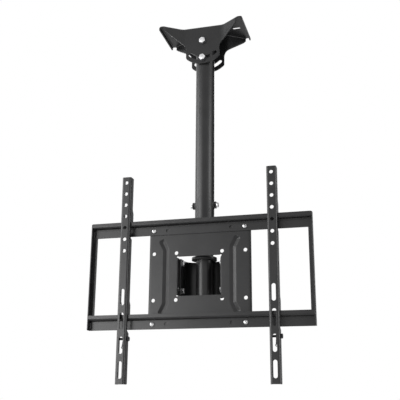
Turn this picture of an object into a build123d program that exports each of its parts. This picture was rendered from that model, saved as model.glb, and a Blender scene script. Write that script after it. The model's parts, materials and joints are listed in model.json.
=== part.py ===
from build123d import *
from math import radians, tan
import os

# TV ceiling mount: a pressed saddle bracket under the ceiling, a telescopic pole that pitches in
# the saddle, a swivel and tilt yoke at its foot, and a hook-on frame with two TV arms.
# Millimetres. The origin is on the ceiling plane above the pole's axis, +Z up, and the TV
# side of the frame faces -Y.

os.makedirs("parts", exist_ok=True)

# Clearances
run_gap = 0.1
slide_gap = 0.3
seat_gap = 0.3

# Ceiling bracket
bracket_sheet = 3.0
wing_reach = 100.0
wing_half_depth = 55.0
wing_tip_width = 10.0
lip_depth = 9.5
cheek_bend_x = 48.0
cheek_bend_radius = 20.0
cheek_stand_off = 2.0
neck_half_width = 40.0
neck_top_drop = 48.0
neck_top_round = 22.0
neck_foot_round = 7.0
pivot_drop = 38.5
lock_radius = 43.5
lock_sweep = 43.0
lock_slot_play = 1.0
lock_slot_rim = 9.5
fold_radius = 5.0
anchor_slot_inset = 24.0
anchor_slot_length = 20.0
anchor_slot_width = 9.0

# Pole
pole_radius = 21.5
pole_wall = 1.8
pole_over_pivot = 15.0
crush_sleeve_radius = 8.0
pole_play = 0.2
inner_pole_wall = 1.8
inner_pole_head_room = 30.5
inner_pole_show = 63.0
grip_screw_rise = 55.0
grip_flats = 10.0
weld_nut_flats = 14.0
weld_nut_height = 5.0

# Bolts, by their nominal shank
large_shank = 8.0
small_shank = 5.0
large_flats = 13.0
large_head_height = 5.3
large_nut_height = 8.0
tilt_shank = 6.0
tilt_flats = 10.0
tilt_head_height = 4.0
tilt_nut_height = 6.0
small_flats = 8.0
small_nut_height = 4.0
washer_sheet = 1.6
large_washer_radius = 9.0
thread_tail = 3.0
short_thread_tail = 1.0

# Swivel at the foot of the pole
plate_centre_drop = 597.0
plate_lead = 45.0
yoke_top = 40.0
yoke_bottom = -40.5
yoke_sheet = 2.5
yoke_outer_half_width = 46.0
yoke_front = 12.0
yoke_bend_radius = 22.0
sleeve_radius = 18.0
spindle_radius = 15.0
collar_radius = 27.5
collar_height = 5.0
collar_rim = 1.0
glide_washer = 1.0
spindle_plug_height = 25.0
spindle_stud_radius = 8.0
swivel_nut_flats = 24.0
swivel_nut_height = 12.0
swivel_washer_sheet = 2.0

# Tilt joint, measured from the middle of the plate's front face
tilt_pivot_y = 27.0
tilt_pivot_z = 31.0
tilt_lock_radius = 58.0
tilt_down_limit = 15.0
tilt_up_limit = 5.0
tilt_washer = 0.8
tilt_washer_radius = 8.5

# Middle plate
plate_sheet = 2.0
plate_side_margin = 11.0
plate_end_margin = 9.5
plate_return = 10.0
window_margin = 4.0
tab_depth = 45.0
tab_relief = 2.0
relief_radius = 2.0
tab_corner = 12.0
vesa_hole_radius = 4.0
vesa_small_pitch = 100.0
vesa_large_pitch = 200.0
groove_x = 73.0
groove_flare_x = 84.0
groove_bend_z = 58.0
groove_end_z = 80.0
groove_width = 14.0
groove_depth = 4.0
groove_draft = 50.0
plate_corner = 4.0
plate_fold_radius = 1.5

# Frame rails, each a folded Z section
rail_sheet = 2.0
rail_half_length = 240.0
rail_depth = 14.5
rail_lip = 8.5
rail_web = 20.0
rail_fold = 3.0
top_screw_drop = 12.5
bottom_screw_drop = 11.5
spare_hole_x = 70.0
spare_hole_radius = 3.3
screw_head_radius = 4.7
screw_head_height = 3.4
end_flange = 8.0

# TV arms, each a U channel with two hooks
arm_from_rail_end = 79.0
arm_half_width = 10.5
arm_sheet = 2.0
arm_proud = 7.5
arm_back_y = -5.0
arm_half_height = 222.0
hook_back_y = 0.0
hook_height = 38.0
hook_slope = 8.0
arm_notch_drop = 24.0
arm_notch_round = 9.0
arm_notch_lead = 6.0
arm_hole_radius = 4.0
arm_hole_count = 7
arm_hole_pitch = 25.5
arm_end_to_hole = 13.0
arm_slot_count = 4
arm_slot_pitch = 49.9
arm_end_to_slot = 28.6
arm_slot_length = 35.0
arm_slot_width = 8.5
arm_corner = 4.0

# Safety screw and latch at the foot of each arm
safety_y = -12.0
safety_drop = 19.5
safety_shank = 5.0
safety_head_radius = 4.8
safety_head_height = 4.0
latch_width = 3.4
latch_sheet = 1.5
latch_x = 3.0
latch_leg = 18.0
latch_eye_y = -17.8
latch_eye_radius = 2.8
latch_eye_bore = 1.1
latch_tip_y = -1.6
latch_tip_gap = 1.6

# Places worked out from the sizes above
wing_end_x = wing_reach - wing_tip_width
wing_edge_y = wing_half_depth - fold_radius
anchor_slot_x = wing_reach - anchor_slot_inset
pivot_z = -pivot_drop
lock_z = pivot_z - lock_radius
cheek_inner_y = pole_radius + cheek_stand_off
cheek_outer_y = cheek_inner_y + bracket_sheet
shank_radius = large_shank / 2
tilt_shank_radius = tilt_shank / 2
small_shank_radius = small_shank / 2
bore_radius = shank_radius + run_gap
bottom_arc_radius = lock_radius + shank_radius + lock_slot_play / 2 + lock_slot_rim
pole_top_z = pivot_z + pole_over_pivot
inner_pole_radius = pole_radius - pole_wall - pole_play
centre_z = -plate_centre_drop
plate_y = -plate_lead
sleeve_top_z = centre_z + yoke_top
sleeve_bottom_z = centre_z + yoke_bottom
collar_bottom_z = sleeve_top_z + glide_washer
collar_top_z = collar_bottom_z + collar_height
inner_pole_top_z = lock_z - crush_sleeve_radius - inner_pole_head_room
pole_bottom_z = collar_top_z + inner_pole_show
grip_z = pole_bottom_z + grip_screw_rise
yoke_inner_half_width = yoke_outer_half_width - yoke_sheet
yoke_front_y = plate_y + yoke_front
tilt_y = plate_y + tilt_pivot_y
tilt_z = centre_z + tilt_pivot_z
tilt_lock_z = tilt_z - tilt_lock_radius
vesa_outer = vesa_large_pitch / 2
plate_half_width = vesa_outer + plate_side_margin
plate_half_height = vesa_outer + plate_end_margin
window_half_width = yoke_outer_half_width + tilt_washer + 2 * run_gap
window_half_height = vesa_small_pitch / 2 - vesa_hole_radius - window_margin
tab_half_height = window_half_height - tab_relief
top_seat_z = vesa_outer + top_screw_drop
bottom_seat_z = bottom_screw_drop - vesa_outer
lowest_rail_z = bottom_seat_z - rail_sheet - rail_web
arm_rest_x = rail_half_length - arm_from_rail_end
arm_front_y = -rail_depth - arm_proud
arm_top_hole_z = arm_half_height - arm_end_to_hole
arm_bottom_slot_z = arm_end_to_slot - arm_half_height
safety_z = lowest_rail_z - safety_drop
latch_eye_z = safety_z - latch_leg

# Working planes: the plate's front face seen from the TV, and the middle plane seen from +X
plate_face = Plane(origin=(0, plate_y, centre_z), x_dir=(1, 0, 0), z_dir=(0, -1, 0))
side_plane = Plane.YZ
plate_side = Plane(origin=(0, plate_y, centre_z), x_dir=(0, 1, 0), z_dir=(1, 0, 0))


def save(part, name):
    """Label a finished piece and write it as its own STEP file."""
    part.label = name
    export_step(part, f"parts/{name}.step")


def side_plane_at(x, facing):
    """A plane facing +X or -X at x, whose own axes are depth and height."""
    return Plane(origin=(x, 0, 0), x_dir=(0, facing, 0), z_dir=(facing, 0, 0))


def hex_bolt(seat, flats, head_height, shank, length):
    """Hexagon bolt: head proud of the seat plane, shank running back through it."""
    crown_bevel = flats / 20
    with BuildPart() as bolt:
        with BuildSketch(seat):
            RegularPolygon(flats / 2, 6, major_radius=False)
        extrude(amount=head_height)
        with BuildSketch(seat):
            Circle(shank / 2)
        extrude(amount=-length)
        crown = bolt.edges().filter_by(GeomType.LINE).group_by(SortBy.LENGTH)[0]
        chamfer(crown.sort_by(Axis(seat.origin, seat.z_dir))[-6:], crown_bevel)
    return bolt.part


def hex_nut(seat, flats, height, bore):
    """Hexagon nut standing on its seat plane, with its bore cut through."""
    with BuildPart() as nut:
        with BuildSketch(seat):
            RegularPolygon(flats / 2, 6, major_radius=False)
            Circle(bore, mode=Mode.SUBTRACT)
        extrude(amount=height)
    return nut.part


def ring(seat, outer, bore, thickness):
    """Flat washer standing on its seat plane."""
    with BuildPart() as washer:
        with BuildSketch(seat):
            Circle(outer)
            Circle(bore, mode=Mode.SUBTRACT)
        extrude(amount=thickness)
    return washer.part


# Ceiling bracket: bow-tie plan, folded down all round, trimmed to the front outline
with BuildPart() as ceiling_bracket:
    with BuildSketch() as plan:
        with BuildLine():
            Polyline(
                (0, -cheek_outer_y),
                (cheek_bend_x, -cheek_outer_y),
                (wing_end_x, -wing_half_depth),
                (wing_reach, -wing_half_depth),
                (wing_reach, 0),
            )
            mirror(about=Plane.XZ)
            mirror(about=Plane.YZ)
        make_face()
        wing_corners = plan.vertices().filter_by(lambda corner: abs(corner.X) > wing_end_x - fold_radius)
        fillet(wing_corners, fold_radius)
        cheek_bends = plan.vertices().filter_by(lambda corner: abs(corner.X) < cheek_bend_x + 0.01)
        fillet(cheek_bends, cheek_bend_radius)
    extrude(amount=-(pivot_drop + bottom_arc_radius + bracket_sheet))
    rim = ceiling_bracket.faces().sort_by(Axis.Z)[-1].edges()
    fillet(rim, fold_radius)
    open_side = ceiling_bracket.faces().sort_by(Axis.Z)[0]
    offset(amount=-bracket_sheet, openings=open_side)
    # Front outline: level top, end lips, neck and round lower edge about the pivot
    with BuildSketch(Plane.XZ) as outline:
        with BuildLine():
            arc_drop = (bottom_arc_radius**2 - neck_half_width**2) ** 0.5
            neck_end = (neck_half_width, pivot_z - arc_drop)
            low_point = (0, pivot_z - bottom_arc_radius)
            Polyline(
                (0, 0),
                (wing_reach, 0),
                (wing_reach, -lip_depth),
                (wing_end_x, -lip_depth),
                (neck_half_width, -neck_top_drop),
                neck_end,
            )
            RadiusArc(neck_end, low_point, bottom_arc_radius)
            mirror(about=Plane.YZ)
        make_face()
        neck_edges = outline.vertices().filter_by(
            lambda corner: abs(abs(corner.X) - neck_half_width) < 0.01
        )
        fillet(neck_edges.sort_by(Axis.Y)[:2], neck_foot_round)
        neck_edges = outline.vertices().filter_by(
            lambda corner: abs(abs(corner.X) - neck_half_width) < 0.01
        )
        fillet(neck_edges.sort_by(Axis.Y)[-2:], neck_top_round)
    extrude(amount=wing_edge_y, both=True, mode=Mode.INTERSECT)
    # Anchor slots in the wings
    with BuildSketch():
        with Locations((-anchor_slot_x, 0), (anchor_slot_x, 0)):
            SlotOverall(anchor_slot_length, anchor_slot_width)
    extrude(amount=-bracket_sheet, mode=Mode.SUBTRACT)
    # Pivot bore and pitch slot through both cheeks
    with BuildSketch(Plane.XZ):
        with Locations((0, pivot_z)):
            Circle(bore_radius)
        with BuildLine() as slot_path:
            CenterArc((0, pivot_z), lock_radius, -90 - lock_sweep, 2 * lock_sweep)
        SlotArc(slot_path.wires()[0], large_shank + lock_slot_play)
    extrude(amount=wing_half_depth, both=True, mode=Mode.SUBTRACT)
save(ceiling_bracket.part, "ceiling_bracket")

# Pivot bolt and pitch lock bolt through the cheeks, with washers and nuts
bolt_seat_y = cheek_outer_y + washer_sheet
grip_length = 2 * bolt_seat_y
for name, height in (("pivot", pivot_z), ("pitch_lock", lock_z)):
    front_seat = Plane(origin=(0, -bolt_seat_y, height), x_dir=(1, 0, 0), z_dir=(0, -1, 0))
    back_seat = Plane(origin=(0, bolt_seat_y, height), x_dir=(1, 0, 0), z_dir=(0, 1, 0))
    front_cheek = Plane(origin=(0, -cheek_outer_y, height), x_dir=(1, 0, 0), z_dir=(0, -1, 0))
    back_cheek = Plane(origin=(0, cheek_outer_y, height), x_dir=(1, 0, 0), z_dir=(0, 1, 0))
    bolt_length = grip_length + large_nut_height + thread_tail
    save(hex_bolt(front_seat, large_flats, large_head_height, large_shank, bolt_length), f"{name}_bolt")
    save(hex_nut(back_seat, large_flats, large_nut_height, shank_radius), f"{name}_nut")
    with BuildPart() as washers:
        add(ring(front_cheek, large_washer_radius, bore_radius, washer_sheet))
        add(ring(back_cheek, large_washer_radius, bore_radius, washer_sheet))
    save(washers.part, f"{name}_washers")

# Outer pole with two crush sleeves welded through its top
with BuildPart() as outer_pole:
    with BuildSketch(Plane.XY.offset(pole_bottom_z)):
        Circle(pole_radius)
        Circle(pole_radius - pole_wall, mode=Mode.SUBTRACT)
    extrude(amount=pole_top_z - pole_bottom_z)
    with BuildSketch(Plane.XZ):
        with Locations((0, pivot_z), (0, lock_z)):
            Circle(crush_sleeve_radius)
    extrude(amount=cheek_inner_y - run_gap, both=True)
    with BuildSketch(Plane.XZ):
        with Locations((0, pivot_z), (0, lock_z)):
            Circle(bore_radius)
    extrude(amount=cheek_inner_y, both=True, mode=Mode.SUBTRACT)
    with BuildSketch(side_plane):
        with Locations((0, grip_z)):
            Circle(bore_radius)
    extrude(amount=pole_radius, both=True, mode=Mode.SUBTRACT)
    rims = outer_pole.edges().filter_by(GeomType.CIRCLE).group_by(Axis.Z)
    chamfer(rims[0] + rims[-1], pole_wall / 4)
save(outer_pole.part, "outer_pole")

# Weld nuts saddled on the pole, and the screws in them that grip the inner pole
with BuildPart() as pole_weld_nuts:
    for facing in (-1, 1):
        nut_foot = side_plane_at(facing * pole_radius / 2, facing)
        with BuildSketch(nut_foot):
            with Locations((0, grip_z)):
                RegularPolygon(weld_nut_flats / 2, 6, major_radius=False)
                Circle(shank_radius, mode=Mode.SUBTRACT)
        extrude(amount=pole_radius / 2 + weld_nut_height)
    with BuildSketch(Plane.XY.offset(grip_z - weld_nut_flats)):
        Circle(pole_radius)
    extrude(amount=2 * weld_nut_flats, mode=Mode.SUBTRACT)
save(pole_weld_nuts.part, "pole_weld_nuts")

with BuildPart() as pole_grip_screws:
    for facing in (-1, 1):
        head_seat = Plane(
            origin=(facing * (pole_radius + weld_nut_height), 0, grip_z),
            x_dir=(0, facing, 0),
            z_dir=(facing, 0, 0),
        )
        reach = pole_radius + weld_nut_height - inner_pole_radius - seat_gap
        add(hex_bolt(head_seat, grip_flats, large_head_height, large_shank, reach))
save(pole_grip_screws.part, "pole_grip_screws")

# Inner pole: thin tube with a wide collar at its foot
with BuildPart() as inner_pole:
    with BuildSketch(Plane.XY.offset(collar_bottom_z)):
        Circle(inner_pole_radius)
        Circle(inner_pole_radius - inner_pole_wall, mode=Mode.SUBTRACT)
    extrude(amount=inner_pole_top_z - collar_bottom_z)
    with BuildSketch(Plane.XY.offset(collar_bottom_z)):
        Circle(collar_radius)
        Circle(inner_pole_radius - inner_pole_wall, mode=Mode.SUBTRACT)
    extrude(amount=collar_height)
    collar_edges = inner_pole.edges().filter_by(GeomType.CIRCLE).filter_by(
        lambda edge: edge.radius > inner_pole_radius + pole_play
    )
    fillet(collar_edges, collar_rim)
save(inner_pole.part, "inner_pole")

# Swivel spindle: plug welded in the tube, shaft through the sleeve, threaded stud below
stud_length = glide_washer + swivel_washer_sheet + swivel_nut_height + thread_tail
spindle_foot_z = sleeve_bottom_z + slide_gap
with BuildPart() as swivel_spindle:
    with BuildSketch(Plane.XZ):
        with BuildLine():
            Polyline(
                (0, collar_bottom_z + spindle_plug_height),
                (inner_pole_radius - inner_pole_wall, collar_bottom_z + spindle_plug_height),
                (inner_pole_radius - inner_pole_wall, collar_bottom_z),
                (spindle_radius, collar_bottom_z),
                (spindle_radius, spindle_foot_z),
                (spindle_stud_radius, spindle_foot_z),
                (spindle_stud_radius, sleeve_bottom_z - stud_length),
                (0, sleeve_bottom_z - stud_length),
                close=True,
            )
        make_face()
    revolve(axis=Axis.Z)
save(swivel_spindle.part, "swivel_spindle")

# Swivel sleeve and its glide washers, steel washer and nut
sleeve_plane = Plane.XY.offset(sleeve_bottom_z)
lower_glide_plane = Plane.XY.offset(sleeve_bottom_z - glide_washer)
lower_washer_plane = lower_glide_plane.offset(-swivel_washer_sheet)
swivel_nut_plane = lower_washer_plane.offset(-swivel_nut_height)
stud_bore = spindle_stud_radius + run_gap
spindle_bore = spindle_radius + run_gap
save(ring(sleeve_plane, sleeve_radius, spindle_bore, yoke_top - yoke_bottom), "swivel_sleeve")
save(ring(Plane.XY.offset(sleeve_top_z), collar_radius, spindle_bore, glide_washer), "upper_glide_washer")
save(ring(lower_glide_plane, sleeve_radius, stud_bore, glide_washer), "lower_glide_washer")
save(ring(lower_washer_plane, sleeve_radius, stud_bore, swivel_washer_sheet), "swivel_washer")
save(hex_nut(swivel_nut_plane, swivel_nut_flats, swivel_nut_height, spindle_stud_radius), "swivel_nut")

# Yoke: one sheet folded to a U around the back of the sleeve
with BuildPart() as yoke:
    with BuildSketch(sleeve_plane):
        with BuildLine():
            centre_x = yoke_outer_half_width - yoke_sheet / 2
            centre_y = sleeve_radius + yoke_sheet / 2
            FilletPolyline(
                (-centre_x, yoke_front_y),
                (-centre_x, centre_y),
                (centre_x, centre_y),
                (centre_x, yoke_front_y),
                radius=yoke_bend_radius,
            )
        trace(line_width=yoke_sheet)
    extrude(amount=yoke_top - yoke_bottom)
    front_corners = yoke.edges().filter_by(Axis.X).group_by(Axis.Y)[0]
    fillet(front_corners, plate_corner)
    with BuildSketch(side_plane):
        with Locations((tilt_y, tilt_z), (tilt_y, tilt_lock_z)):
            Circle(tilt_shank_radius)
    extrude(amount=yoke_outer_half_width, both=True, mode=Mode.SUBTRACT)
save(yoke.part, "yoke")

# Tilt bolts with their heads inside the yoke, nuts and washers outside the plate's ears
ear_outer_x = window_half_width + plate_sheet
ear_nut_x = ear_outer_x + washer_sheet
tilt_bolt_length = ear_nut_x - yoke_inner_half_width + tilt_nut_height + short_thread_tail
for name, height in (("tilt_pivot", tilt_z), ("tilt_lock", tilt_lock_z)):
    with BuildPart() as bolts:
        for facing in (-1, 1):
            inner_face = Plane(
                origin=(facing * yoke_inner_half_width, tilt_y, height),
                x_dir=(0, 1, 0),
                z_dir=(-facing, 0, 0),
            )
            add(hex_bolt(inner_face, tilt_flats, tilt_head_height, tilt_shank, tilt_bolt_length))
    save(bolts.part, f"{name}_bolts")
    with BuildPart() as nuts:
        for facing in (-1, 1):
            nut_seat = Plane(
                origin=(facing * ear_nut_x, tilt_y, height), x_dir=(0, 1, 0), z_dir=(facing, 0, 0)
            )
            add(hex_nut(nut_seat, tilt_flats, tilt_nut_height, tilt_shank_radius))
    save(nuts.part, f"{name}_nuts")
    with BuildPart() as washers:
        for facing in (-1, 1):
            ear_face = Plane(
                origin=(facing * (ear_outer_x + run_gap), tilt_y, height),
                x_dir=(0, 1, 0),
                z_dir=(facing, 0, 0),
            )
            add(ring(ear_face, tilt_washer_radius, tilt_shank_radius, washer_sheet - run_gap))
    save(washers.part, f"{name}_washers")

with BuildPart() as tilt_glide_washers:
    for facing in (-1, 1):
        for height in (tilt_z, tilt_lock_z):
            yoke_face = Plane(
                origin=(facing * yoke_outer_half_width, tilt_y, height),
                x_dir=(0, 1, 0),
                z_dir=(facing, 0, 0),
            )
            add(ring(yoke_face, tilt_washer_radius, tilt_shank_radius, tilt_washer))
save(tilt_glide_washers.part, "tilt_glide_washers")

# Middle plate: side returns, window with two ears folded back, pressed grooves and screw holes
def groove_points(side, overrun):
    """Corners of one groove's middle line, its flared ends run on by a length."""
    flare = Vector(groove_flare_x - groove_x, groove_end_z - groove_bend_z).normalized() * overrun
    end_x = side * (groove_flare_x + flare.X)
    end_z = groove_end_z + flare.Y
    bend_x = side * groove_x
    return [(end_x, end_z), (bend_x, groove_bend_z), (bend_x, -groove_bend_z), (end_x, -end_z)]


def groove_block(plane, width, depth, overrun):
    """Both bent grooves as blocks with drafted sides and ends that narrow towards the back."""
    draft = depth * tan(radians(groove_draft))
    with BuildPart() as block:
        for side in (-1, 1):
            for level, band, extra in ((0, width, overrun), (-depth, width - 2 * draft, overrun - draft)):
                with BuildSketch(plane.offset(level)) as outline:
                    with BuildLine():
                        FilletPolyline(groove_points(side, extra), radius=groove_width)
                    trace(line_width=band)
                    along = outline.vertices().sort_by(Axis.Y)
                    fillet(along[:2] + along[-2:], band / 4)
            loft()
    return block.part


with BuildPart() as vesa_plate:
    # Sheet with a return folded back along each side, seen from above
    with BuildSketch(Plane.XY.offset(centre_z)):
        with BuildLine():
            side_x = plate_half_width - plate_sheet / 2
            middle_y = plate_y + plate_sheet / 2
            return_y = plate_y + plate_return
            FilletPolyline(
                (-side_x, return_y),
                (-side_x, middle_y),
                (side_x, middle_y),
                (side_x, return_y),
                radius=plate_fold_radius + plate_sheet / 2,
            )
        trace(line_width=plate_sheet)
    extrude(amount=plate_half_height, both=True)
    return_corners = vesa_plate.edges().filter_by(Axis.X).group_by(Axis.Y)[-1]
    fillet(return_corners, plate_corner)
    with BuildSketch(plate_face):
        Rectangle(2 * window_half_width, 2 * window_half_height)
    extrude(amount=-plate_sheet, mode=Mode.SUBTRACT)
    # Ears beside the window
    with BuildSketch(plate_side.offset(window_half_width)):
        with Locations((tab_depth / 2, 0)):
            Rectangle(tab_depth, 2 * tab_half_height)
    extrude(amount=plate_sheet)
    with BuildSketch(plate_side.offset(-window_half_width)):
        with Locations((tab_depth / 2, 0)):
            Rectangle(tab_depth, 2 * tab_half_height)
    extrude(amount=-plate_sheet)
    ear_corners = vesa_plate.edges().filter_by(Axis.X).group_by(Axis.Y)[-1]
    fillet(ear_corners, tab_corner)
    fold_edges = vesa_plate.edges().filter_by(Axis.Z).filter_by(
        lambda edge: abs(abs(edge.center().X) - window_half_width) < 0.01
        and abs(edge.center().Y - plate_y) < 0.01
    )
    fillet(fold_edges, plate_fold_radius)
    # Pressed grooves
    add(groove_block(plate_face.offset(-plate_sheet), groove_width + plate_sheet, groove_depth, plate_sheet))
    add(groove_block(plate_face, groove_width, groove_depth, 0), mode=Mode.SUBTRACT)
    # Screw holes, and the reliefs at the ears' bends
    with BuildSketch(plate_face):
        with GridLocations(vesa_small_pitch, vesa_small_pitch, 2, 2):
            Circle(vesa_hole_radius)
        with GridLocations(vesa_large_pitch, vesa_small_pitch, 2, 2):
            Circle(vesa_hole_radius)
        with GridLocations(vesa_large_pitch, vesa_large_pitch, 2, 2):
            Circle(small_shank_radius + run_gap)
        with GridLocations(2 * window_half_width, 2 * window_half_height - tab_relief, 2, 2):
            Circle(relief_radius)
    extrude(amount=-plate_sheet, mode=Mode.SUBTRACT)
    # Pivot bores and tilt slots in the ears
    with BuildSketch(side_plane):
        with Locations((tilt_y, tilt_z)):
            Circle(tilt_shank_radius + run_gap)
        with BuildLine() as tilt_path:
            CenterArc(
                (tilt_y, tilt_z), tilt_lock_radius, -90 - tilt_down_limit, tilt_down_limit + tilt_up_limit
            )
        SlotArc(tilt_path.wires()[0], tilt_shank + lock_slot_play)
    extrude(amount=ear_outer_x, both=True, mode=Mode.SUBTRACT)
save(vesa_plate.part, "vesa_plate")

# Rails: one folded Z section for both, with the lip and ledge that the arms hook on
for name, seat_z in (("top_rail", top_seat_z), ("bottom_rail", bottom_seat_z)):
    with BuildPart() as rail:
        with BuildSketch(plate_side.offset(-rail_half_length)):
            with BuildLine():
                lip_y = -rail_depth + rail_sheet / 2
                ledge_z = seat_z - rail_sheet / 2
                FilletPolyline(
                    (lip_y, seat_z + rail_lip),
                    (lip_y, ledge_z),
                    (-rail_sheet / 2, ledge_z),
                    (-rail_sheet / 2, seat_z - rail_sheet - rail_web),
                    radius=rail_fold,
                )
            trace(line_width=rail_sheet)
        extrude(amount=2 * rail_half_length)
        screw_row = vesa_outer if seat_z > 0 else -vesa_outer
        with BuildSketch(plate_face):
            with Locations((-vesa_outer, screw_row), (vesa_outer, screw_row)):
                Circle(small_shank_radius + run_gap)
            with Locations((-spare_hole_x, screw_row), (spare_hole_x, screw_row)):
                Circle(spare_hole_radius)
        extrude(amount=rail_sheet, mode=Mode.SUBTRACT)
    save(rail.part, name)

# End plates: flat strips with a narrow flange turned in behind the rails' ends
flange_low_z = bottom_seat_z + rail_lip + seat_gap
flange_high_z = top_seat_z - rail_sheet - rail_web - seat_gap
for name, facing in (("left_end_plate", -1), ("right_end_plate", 1)):
    with BuildPart() as end_plate:
        with BuildSketch(plate_side.offset(facing * rail_half_length)):
            with Locations((-rail_depth, lowest_rail_z)):
                Rectangle(rail_depth, top_seat_z + rail_lip - lowest_rail_z, align=Align.MIN)
        extrude(amount=facing * rail_sheet)
        with BuildSketch(plate_side.offset(facing * rail_half_length)):
            with Locations((-rail_sheet, flange_low_z)):
                Rectangle(rail_sheet, flange_high_z - flange_low_z, align=Align.MIN)
        extrude(amount=-facing * end_flange)
        outer_corners = end_plate.edges().filter_by(Axis.X).group_by(Axis.Y)[0]
        fillet(outer_corners, rail_fold)
    save(end_plate.part, name)

# Pan-head screws that hold the plate between the rails, with nuts behind it
with BuildPart() as rail_screws:
    with BuildSketch(plate_face.offset(rail_sheet)):
        with GridLocations(vesa_large_pitch, vesa_large_pitch, 2, 2):
            Circle(screw_head_radius)
    extrude(amount=screw_head_height)
    fillet(rail_screws.faces().sort_by(Axis.Y)[:4].edges(), screw_head_height / 2)
    with BuildSketch(plate_face.offset(rail_sheet)):
        with GridLocations(vesa_large_pitch, vesa_large_pitch, 2, 2):
            Circle(small_shank_radius)
    extrude(amount=-(rail_sheet + plate_sheet + small_nut_height + short_thread_tail))
save(rail_screws.part, "rail_screws")

with BuildPart() as rail_nuts:
    with BuildSketch(plate_face.offset(-plate_sheet)):
        with GridLocations(vesa_large_pitch, vesa_large_pitch, 2, 2):
            RegularPolygon(small_flats / 2, 6, major_radius=False)
            Circle(small_shank_radius, mode=Mode.SUBTRACT)
    extrude(amount=-small_nut_height)
save(rail_nuts.part, "rail_nuts")

# TV arms: U channel, two hooks over the rails, VESA holes and slots in the front
lip_front = -rail_depth - seat_gap
lip_back = -rail_depth + rail_sheet + seat_gap
hook_bevel = rail_fold - rail_sheet / 2
for name, facing in (("left_arm", -1), ("right_arm", 1)):
    arm_x = facing * arm_rest_x
    with BuildPart() as arm:
        with BuildSketch(Plane.XY.offset(centre_z - arm_half_height)):
            with BuildLine():
                flange_x = arm_half_width - arm_sheet / 2
                web_y = plate_y + arm_front_y + arm_sheet / 2
                FilletPolyline(
                    (arm_x - flange_x, plate_y + arm_back_y),
                    (arm_x - flange_x, web_y),
                    (arm_x + flange_x, web_y),
                    (arm_x + flange_x, plate_y + arm_back_y),
                    radius=rail_fold,
                )
            trace(line_width=arm_sheet)
        extrude(amount=2 * arm_half_height)
        # Deeper flanges for the hooks, then the notches that clear the rails
        for side in (-1, 1):
            inner_x = arm_x + side * (arm_half_width - arm_sheet)
            for seat_z in (top_seat_z, bottom_seat_z):
                with BuildSketch(plate_side.offset(inner_x)):
                    with BuildLine():
                        Polyline(
                            (arm_back_y, seat_z),
                            (hook_back_y, seat_z),
                            (hook_back_y, seat_z + hook_height - hook_slope),
                            (arm_back_y, seat_z + hook_height),
                            close=True,
                        )
                    make_face()
                extrude(amount=side * arm_sheet)
        for seat_z in (top_seat_z, bottom_seat_z):
            with BuildSketch(plate_side.offset(arm_x)):
                with BuildLine():
                    Polyline(
                        (lip_front, seat_z - arm_notch_drop),
                        (lip_front, seat_z + rail_lip + seat_gap),
                        (lip_back, seat_z + rail_lip + seat_gap),
                        (lip_back, seat_z + seat_gap + hook_bevel),
                        (lip_back + hook_bevel, seat_z + seat_gap),
                        (hook_back_y + seat_gap, seat_z + seat_gap),
                        (hook_back_y + seat_gap, seat_z - arm_notch_drop + arm_notch_round),
                        (arm_back_y, seat_z - arm_notch_drop - arm_notch_lead),
                        close=True,
                    )
                make_face()
            extrude(amount=arm_half_width, both=True, mode=Mode.SUBTRACT)
        flange_corners = arm.edges().filter_by(Axis.X).group_by(Axis.Z)
        fillet(flange_corners[0].sort_by(Axis.Y)[-2:], arm_corner)
        # Holes and slots
        with BuildSketch(plate_face.offset(-arm_front_y)):
            for row in range(arm_hole_count):
                with Locations((arm_x, arm_top_hole_z - row * arm_hole_pitch)):
                    Circle(arm_hole_radius)
            for row in range(arm_slot_count):
                with Locations((arm_x, arm_bottom_slot_z + row * arm_slot_pitch)):
                    SlotOverall(arm_slot_length, arm_slot_width, rotation=90)
        extrude(amount=-arm_sheet, mode=Mode.SUBTRACT)
        with BuildSketch(plate_side.offset(arm_x)):
            with Locations((safety_y, safety_z)):
                Circle(safety_shank / 2)
        extrude(amount=arm_half_width, both=True, mode=Mode.SUBTRACT)
    save(arm.part, name)

# Safety screw across each arm, its head on the right-hand flange
for name, facing in (("left_safety_screw", -1), ("right_safety_screw", 1)):
    arm_x = facing * arm_rest_x
    screw_seat = Plane(
        origin=(arm_x + arm_half_width, plate_y + safety_y, centre_z + safety_z),
        x_dir=(0, 1, 0),
        z_dir=(1, 0, 0),
    )
    with BuildPart() as safety_screw:
        with BuildSketch(screw_seat):
            Circle(safety_head_radius)
        extrude(amount=safety_head_height)
        fillet(safety_screw.edges().sort_by(Axis.X)[-1:], safety_head_height / 4)
        with BuildSketch(screw_seat):
            Circle(safety_shank / 2)
        extrude(amount=-2 * arm_half_width)
    save(safety_screw.part, name)

# Latch on each safety screw: rolled barrel, tip under the lower rail, leg down to a pull eye
barrel_bore = safety_shank / 2 + run_gap
barrel_radius = barrel_bore + latch_sheet
latch_tip_z = lowest_rail_z - latch_tip_gap
for name, facing in (("left_latch", -1), ("right_latch", 1)):
    latch_plane = plate_side.offset(facing * arm_rest_x + latch_x)
    with BuildPart() as latch:
        with BuildSketch(latch_plane):
            with BuildLine():
                Polyline((safety_y, safety_z), (latch_tip_y, latch_tip_z))
            trace(line_width=latch_sheet)
            with BuildLine():
                Polyline((safety_y, safety_z), (latch_eye_y, latch_eye_z + latch_eye_radius))
            trace(line_width=latch_sheet)
            with Locations((safety_y, safety_z)):
                Circle(barrel_radius)
                Circle(barrel_bore, mode=Mode.SUBTRACT)
        extrude(amount=latch_width / 2, both=True)
        with BuildSketch(plate_face.offset(-latch_eye_y + latch_sheet / 2)):
            with Locations((facing * arm_rest_x + latch_x, latch_eye_z)):
                Circle(latch_eye_radius)
                Circle(latch_eye_bore, mode=Mode.SUBTRACT)
        extrude(amount=-latch_sheet)
    save(latch.part, name)
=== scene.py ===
"""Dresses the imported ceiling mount: finishes, fasteners, weld beads, pressed grooves and studio.

Every length is in metres in the row's frame: origin on the ceiling plane at the pole's axis,
+X to the right as the television side is seen, +Y away from the television, +Z up.
"""

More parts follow.
